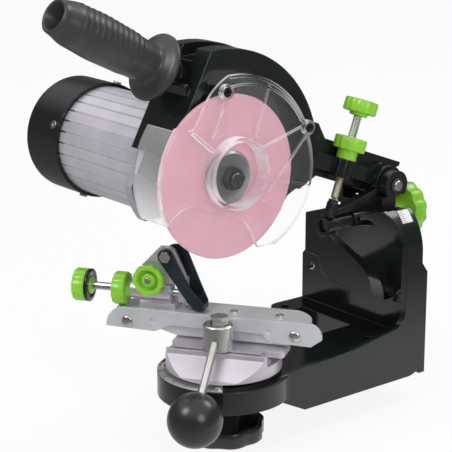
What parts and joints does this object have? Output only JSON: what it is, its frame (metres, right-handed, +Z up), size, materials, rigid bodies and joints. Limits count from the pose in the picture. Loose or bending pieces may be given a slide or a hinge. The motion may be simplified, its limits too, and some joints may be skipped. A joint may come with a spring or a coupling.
{
  "type": "bench saw chain sharpener",
  "caption": "Bench and wall sharpener for saw chain: motor head with a pink grinding wheel on a lifting arm, over a swivelling chain vise with a ball lever.",
  "frame": {"origin": "on the wall plane, level with the underside of the frame's foot, straight behind the axis the vise turns on", "axes": "+X along the wheel axle away from the motor, +Y square into the wall the frame bolts to, +Z up"},
  "size_m": [0.326, 0.3749, 0.4012],
  "materials": {
    "black_casting": "gloss black paint",
    "black_bracket": "gloss black paint",
    "black_strap": "satin",
    "alu_casting": "satin",
    "zinc": "satin",
    "dark_steel": "satin",
    "yellow_zinc": "satin",
    "green_plastic": "gloss",
    "dark_plastic": "matte",
    "black_plastic": "gloss",
    "pink_abrasive": "matte",
    "clear_plastic": "gloss",
    "white_label": "matte",
    "copper": "satin",
    "electrical_steel": "matte",
    "bronze": "satin"
  },
  "bodies": {
    "frame": {"base_frame": "black_casting", "tilt_shaft": "zinc", "angle_scale": "alu_casting", "scale_screws": "zinc", "tilt_scale": "white_label"},
    "tilt_head": {"tilt_bracket": "black_bracket", "hinge_pin": "zinc", "pin_clips": "dark_steel"},
    "tilt_lock": {"tilt_lock_knob": "green_plastic"},
    "head": {"arm_housing": "black_casting", "hinge_bushes": "bronze", "handle_grip": "dark_plastic", "handle_stud": "zinc", "motor_body": "alu_casting", "motor_flange": "alu_casting", "flange_bolts": "dark_steel", "front_bearing": "zinc", "rear_bearing": "zinc", "end_shield": "alu_casting", "stator_core": "electrical_steel", "stator_windings": "copper", "motor_cap": "black_plastic", "cap_screws": "zinc", "capacitor": "dark_plastic", "cable_gland": "black_plastic", "switch_body": "black_plastic", "clear_guard": "clear_plastic", "guard_screws": "zinc"},
    "rocker": {"switch_rocker": "green_plastic"},
    "spindle": {"rotor_shaft": "zinc", "rotor_core": "electrical_steel", "inner_flange": "alu_casting", "grinding_wheel": "pink_abrasive", "outer_flange": "alu_casting", "spindle_nut": "dark_steel"},
    "depth_screw": {"stop_screw": "yellow_zinc", "stop_knob": "green_plastic"},
    "depth_lock": {"stop_lock_knob": "green_plastic"},
    "swivel": {"swivel_base": "alu_casting", "swivel_stud": "zinc"},
    "hand_wheel": {"hand_knob": "black_plastic"},
    "vise": {"vise_body": "alu_casting", "rear_jaw": "zinc", "jaw_screws": "zinc", "jaw_pins": "zinc", "cam_bolt": "zinc", "chain_stop_base": "alu_casting", "stop_base_bolt": "zinc"},
    "jaw": {"front_jaw": "zinc"},
    "cam": {"cam_drum": "zinc", "lever_rod": "zinc", "ball_knob": "dark_plastic"},
    "stop_slide": {"stop_carrier": "zinc", "guide_rod": "zinc", "rod_knob": "green_plastic", "pawl_bolt": "zinc"},
    "rod_lock": {"rod_lock_knob": "green_plastic"},
    "clamp": {"clamp_knob": "green_plastic"},
    "pawl": {"pawl": "black_strap", "pawl_spring": "dark_steel"}
  },
  "joints": [
    {"name": "head_tilt", "type": "hinge", "parent": "frame", "child": "tilt_head", "pos_m": [0, 0, 0.15], "axis": [0, -1, 0], "range_deg": [-30, 0]},
    {"name": "tilt_lock_turn", "type": "hinge", "parent": "frame", "child": "tilt_lock", "pos_m": [0, 0, 0.15], "axis": [0, 1, 0], "range_deg": [0, 180]},
    {"name": "arm_lift", "type": "hinge", "parent": "tilt_head", "child": "head", "pos_m": [0, -0.014, 0.1795], "axis": [-1, 0, 0], "range_deg": [0, 30]},
    {"name": "switch_rock", "type": "hinge", "parent": "head", "child": "rocker", "pos_m": [-0.234, -0.204, 0.2364], "axis": [0, 1, 0], "range_deg": [-10, 10]},
    {"name": "spindle_spin", "type": "hinge", "parent": "head", "child": "spindle", "pos_m": [0, -0.204, 0.2144], "axis": [1, 0, 0], "continuous": true},
    {"name": "depth_screw_travel", "type": "slide", "parent": "head", "child": "depth_screw", "axis": [0, 0.3535, 0.9354], "range_m": [0, 0.008]},
    {"name": "depth_lock_turn", "type": "hinge", "parent": "head", "child": "depth_lock", "pos_m": [0.0055, -0.072, 0.20142], "axis": [0, 0.3535, 0.9354], "range_deg": [0, 90]},
    {"name": "vise_turn", "type": "hinge", "parent": "frame", "child": "swivel", "pos_m": [0, -0.207, 0], "axis": [0, 0, 1], "range_deg": [-70, 0]},
    {"name": "hand_wheel_turn", "type": "hinge", "parent": "frame", "child": "hand_wheel", "pos_m": [0, -0.207, 0], "axis": [0, 0, 1], "range_deg": [0, 90]},
    {"name": "vise_tilt", "type": "hinge", "parent": "swivel", "child": "vise", "pos_m": [0, -0.207, 0.088], "axis": [0.8192, 0.5736, 0], "range_deg": [-15, 0]},
    {"name": "jaw_clamp", "type": "slide", "parent": "vise", "child": "jaw", "axis": [-0.5736, 0.8192, 0], "range_m": [0, 0.00095]},
    {"name": "cam_turn", "type": "hinge", "parent": "vise", "child": "cam", "pos_m": [0.008, -0.21843, 0.075], "axis": [0, 0, 1], "range_deg": [-40, 0]},
    {"name": "stop_travel", "type": "slide", "parent": "vise", "child": "stop_slide", "axis": [0.8192, 0.5736, 0], "range_m": [-0.005, 0.005]},
    {"name": "rod_lock_turn", "type": "hinge", "parent": "vise", "child": "rod_lock", "pos_m": [-0.07831, -0.25207, 0.103], "axis": [0.8192, 0.5736, 0], "range_deg": [0, 90]},
    {"name": "clamp_knob_turn", "type": "hinge", "parent": "stop_slide", "child": "clamp", "pos_m": [-0.0557, -0.246, 0.117], "axis": [-0.5736, 0.8192, 0], "range_deg": [0, 90]},
    {"name": "pawl_swing", "type": "hinge", "parent": "stop_slide", "child": "pawl", "pos_m": [-0.04423, -0.23797, 0.138], "axis": [-0.5736, 0.8192, 0], "range_deg": [-25, 0]}
  ],
  "couplings": [
    {"joint": "jaw_clamp", "follows": "cam_turn", "m_per_rad": -0.00135}
  ]
}
